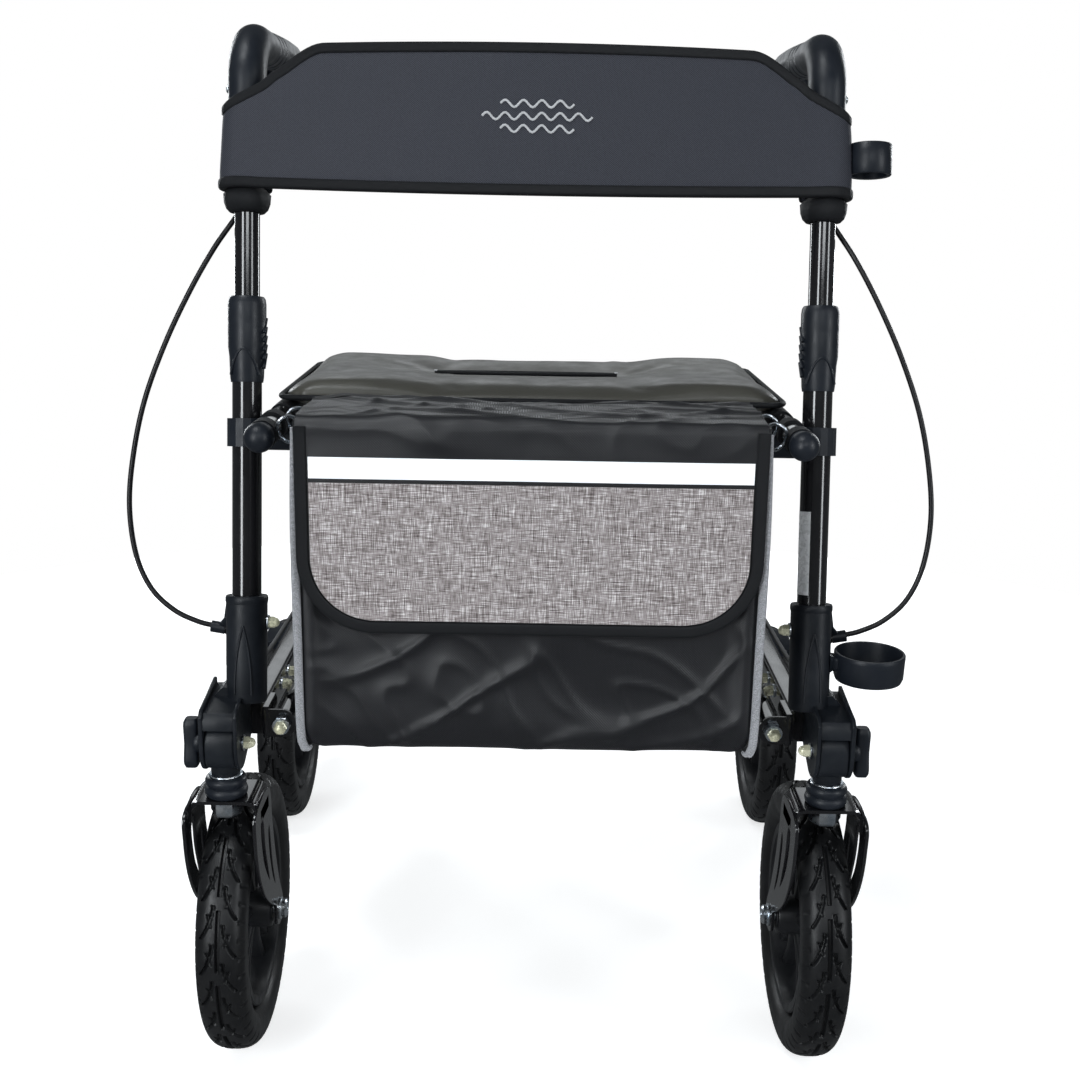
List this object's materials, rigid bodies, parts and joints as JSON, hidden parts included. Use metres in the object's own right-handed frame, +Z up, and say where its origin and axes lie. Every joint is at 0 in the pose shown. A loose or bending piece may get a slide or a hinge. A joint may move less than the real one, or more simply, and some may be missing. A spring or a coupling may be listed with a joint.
{
  "type": "rollator walker",
  "caption": "Folding four-wheeled rollator walker with a padded seat, front bag, backrest belt, braked rear wheels, swivelling front wheels and height-adjustable handles.",
  "frame": {"origin": "on the floor, at the centre of the bounding box", "axes": "+Z up, the bag and caster wheels face -Y, the hand grips point to +Y, +X to the side that carries the cane ring and cup"},
  "size_m": [0.7074, 0.738, 0.9174],
  "materials": {
    "frame_gloss": "gloss powder coat",
    "cast_black": "satin cast alloy",
    "dark_plastic": "moulded, fine grain",
    "zinc": "blue zinc plate",
    "tyre_rubber": "matte rubber",
    "wheel_plastic": "moulded nylon",
    "seat_vinyl": "satin vinyl",
    "bag_nylon": "diagonal-weave nylon",
    "linen_panel": "melange linen weave",
    "belt_twill": "charcoal twill",
    "cable_black": "satin cable jacket"
  },
  "bodies": {
    "left_frame": {"left_post_tube": "frame_gloss", "left_foot_casting": "cast_black", "left_height_collar": "dark_plastic", "left_lower_frame": "frame_gloss", "left_rail_cradle": "dark_plastic", "left_caster_knuckle": "cast_black", "left_knuckle_bolt": "zinc", "left_brake_cable": "cable_black"},
    "left_knob": {"left_wing_knob": "dark_plastic"},
    "left_caster": {"left_caster_fork": "frame_gloss", "left_bearing_boot": "dark_plastic", "left_front_axle": "zinc"},
    "left_front_wheel": {"left_front_rim": "wheel_plastic", "left_front_tyre": "tyre_rubber"},
    "left_rear_wheel": {"left_rear_rim": "wheel_plastic", "left_rear_tyre": "tyre_rubber"},
    "left_brake": {"left_brake_arm": "dark_plastic"},
    "left_handle": {"left_handle_tube": "frame_gloss", "left_bend_cover": "dark_plastic", "left_hand_grip": "dark_plastic", "left_belt_sleeve": "belt_twill", "backrest_belt": "belt_twill"},
    "left_lever": {"left_brake_lever": "dark_plastic"},
    "right_frame": {"right_post_tube": "frame_gloss", "right_foot_casting": "cast_black", "right_height_collar": "dark_plastic", "right_lower_frame": "frame_gloss", "right_rail_cradle": "dark_plastic", "right_caster_knuckle": "cast_black", "right_knuckle_bolt": "zinc", "right_brake_cable": "cable_black", "cane_cup": "dark_plastic"},
    "right_knob": {"right_wing_knob": "dark_plastic"},
    "right_caster": {"right_caster_fork": "frame_gloss", "right_bearing_boot": "dark_plastic", "right_front_axle": "zinc"},
    "right_front_wheel": {"right_front_rim": "wheel_plastic", "right_front_tyre": "tyre_rubber"},
    "right_rear_wheel": {"right_rear_rim": "wheel_plastic", "right_rear_tyre": "tyre_rubber"},
    "right_brake": {"right_brake_arm": "dark_plastic"},
    "right_handle": {"right_handle_tube": "frame_gloss", "right_bend_cover": "dark_plastic", "right_hand_grip": "dark_plastic", "right_belt_sleeve": "belt_twill", "cane_ring": "dark_plastic"},
    "right_lever": {"right_brake_lever": "dark_plastic"},
    "brace_a": {"brace_a_pivot_tube": "frame_gloss", "brace_a_front_strut": "frame_gloss", "brace_a_rear_strut": "frame_gloss", "right_seat_rail": "frame_gloss"},
    "brace_b": {"brace_b_pivot_tube": "frame_gloss", "brace_b_front_strut": "frame_gloss", "brace_b_rear_strut": "frame_gloss", "left_seat_rail": "frame_gloss"},
    "left_seat": {"left_seat_pad": "seat_vinyl"},
    "right_seat": {"right_seat_pad": "seat_vinyl"},
    "bag": {"bag_body": "bag_nylon"},
    "flap": {"bag_flap": "linen_panel"}
  },
  "joints": [
    {"name": "fold", "type": "hinge", "parent": "left_frame", "child": "brace_a", "pos_m": [-0.217, 0, 0.321], "axis": [0, -1, 0], "range_deg": [0, 52], "deforming": ["bag_body", "bag_flap", "backrest_belt"]},
    {"name": "brace_cross", "type": "hinge", "parent": "brace_a", "child": "brace_b", "pos_m": [0, 0, 0.4545], "axis": [0, -1, 0], "range_deg": [-105, 0.5]},
    {"name": "frame_spread", "type": "hinge", "parent": "brace_b", "child": "right_frame", "pos_m": [0.217, 0, 0.321], "axis": [0, -1, 0], "range_deg": [-0.5, 53]},
    {"name": "seat_left_hang", "type": "hinge", "parent": "brace_b", "child": "left_seat", "pos_m": [-0.217, 0, 0.588], "axis": [0, -1, 0], "range_deg": [-39, 0.5]},
    {"name": "seat_right_hang", "type": "hinge", "parent": "brace_a", "child": "right_seat", "pos_m": [0.217, 0, 0.588], "axis": [0, -1, 0], "range_deg": [-0.5, 39]},
    {"name": "bag_hang", "type": "hinge", "parent": "brace_b", "child": "bag", "pos_m": [-0.217, -0.294, 0.588], "axis": [0, -1, 0], "range_deg": [-0.5, 53]},
    {"name": "flap_open", "type": "hinge", "parent": "bag", "child": "flap", "pos_m": [0, -0.263, 0.6045], "axis": [-1, 0, 0], "range_deg": [0, 100]},
    {"name": "left_height", "type": "slide", "parent": "left_frame", "child": "left_handle", "axis": [0, 0.1719, 0.9851], "range_m": [-0.06, 0.05], "deforming": ["left_brake_cable"]},
    {"name": "left_brake_lever", "type": "hinge", "parent": "left_handle", "child": "left_lever", "pos_m": [-0.235, -0.147, 0.872], "axis": [1, 0, 0], "range_deg": [-20, 5], "stiffness_Nm_per_rad": 1.5},
    {"name": "left_brake", "type": "hinge", "parent": "left_frame", "child": "left_brake", "pos_m": [-0.262, 0.12909, 0.22142], "axis": [-1, 0, 0], "range_deg": [-6.2, 1.7]},
    {"name": "left_knob_turn", "type": "hinge", "parent": "left_frame", "child": "left_knob", "pos_m": [-0.285, -0.306, 0.316], "axis": [1, 0, 0], "continuous": true},
    {"name": "left_caster_swivel", "type": "hinge", "parent": "left_frame", "child": "left_caster", "pos_m": [-0.261, -0.306, 0.27], "axis": [0, 0, 1], "continuous": true},
    {"name": "left_front_wheel_spin", "type": "hinge", "parent": "left_caster", "child": "left_front_wheel", "pos_m": [-0.261, -0.244, 0.125], "axis": [1, 0, 0], "continuous": true},
    {"name": "left_rear_wheel_spin", "type": "hinge", "parent": "left_frame", "child": "left_rear_wheel", "pos_m": [-0.302, 0.244, 0.125], "axis": [1, 0, 0], "continuous": true},
    {"name": "right_height", "type": "slide", "parent": "right_frame", "child": "right_handle", "axis": [0, 0.1719, 0.9851], "range_m": [-0.06, 0.05], "deforming": ["right_brake_cable"]},
    {"name": "right_brake_lever", "type": "hinge", "parent": "right_handle", "child": "right_lever", "pos_m": [0.235, -0.147, 0.872], "axis": [1, 0, 0], "range_deg": [-20, 5], "stiffness_Nm_per_rad": 1.5},
    {"name": "right_brake", "type": "hinge", "parent": "right_frame", "child": "right_brake", "pos_m": [0.262, 0.12909, 0.22142], "axis": [-1, 0, 0], "range_deg": [-6.2, 1.7]},
    {"name": "right_knob_turn", "type": "hinge", "parent": "right_frame", "child": "right_knob", "pos_m": [0.285, -0.306, 0.316], "axis": [1, 0, 0], "continuous": true},
    {"name": "right_caster_swivel", "type": "hinge", "parent": "right_frame", "child": "right_caster", "pos_m": [0.261, -0.306, 0.27], "axis": [0, 0, 1], "continuous": true},
    {"name": "right_front_wheel_spin", "type": "hinge", "parent": "right_caster", "child": "right_front_wheel", "pos_m": [0.261, -0.244, 0.125], "axis": [1, 0, 0], "continuous": true},
    {"name": "right_rear_wheel_spin", "type": "hinge", "parent": "right_frame", "child": "right_rear_wheel", "pos_m": [0.302, 0.244, 0.125], "axis": [1, 0, 0], "continuous": true}
  ],
  "couplings": [
    {"joint": "brace_cross", "follows": "fold", "ratio": -2},
    {"joint": "frame_spread", "follows": "fold", "ratio": 1},
    {"joint": "seat_left_hang", "follows": "fold", "ratio": -0.731},
    {"joint": "seat_right_hang", "follows": "fold", "ratio": 0.731},
    {"joint": "bag_hang", "follows": "fold", "ratio": 1},
    {"joint": "right_height", "follows": "left_height", "ratio": 1},
    {"joint": "left_brake", "follows": "left_brake_lever", "ratio": 0.3},
    {"joint": "right_brake", "follows": "right_brake_lever", "ratio": 0.3}
  ]
}
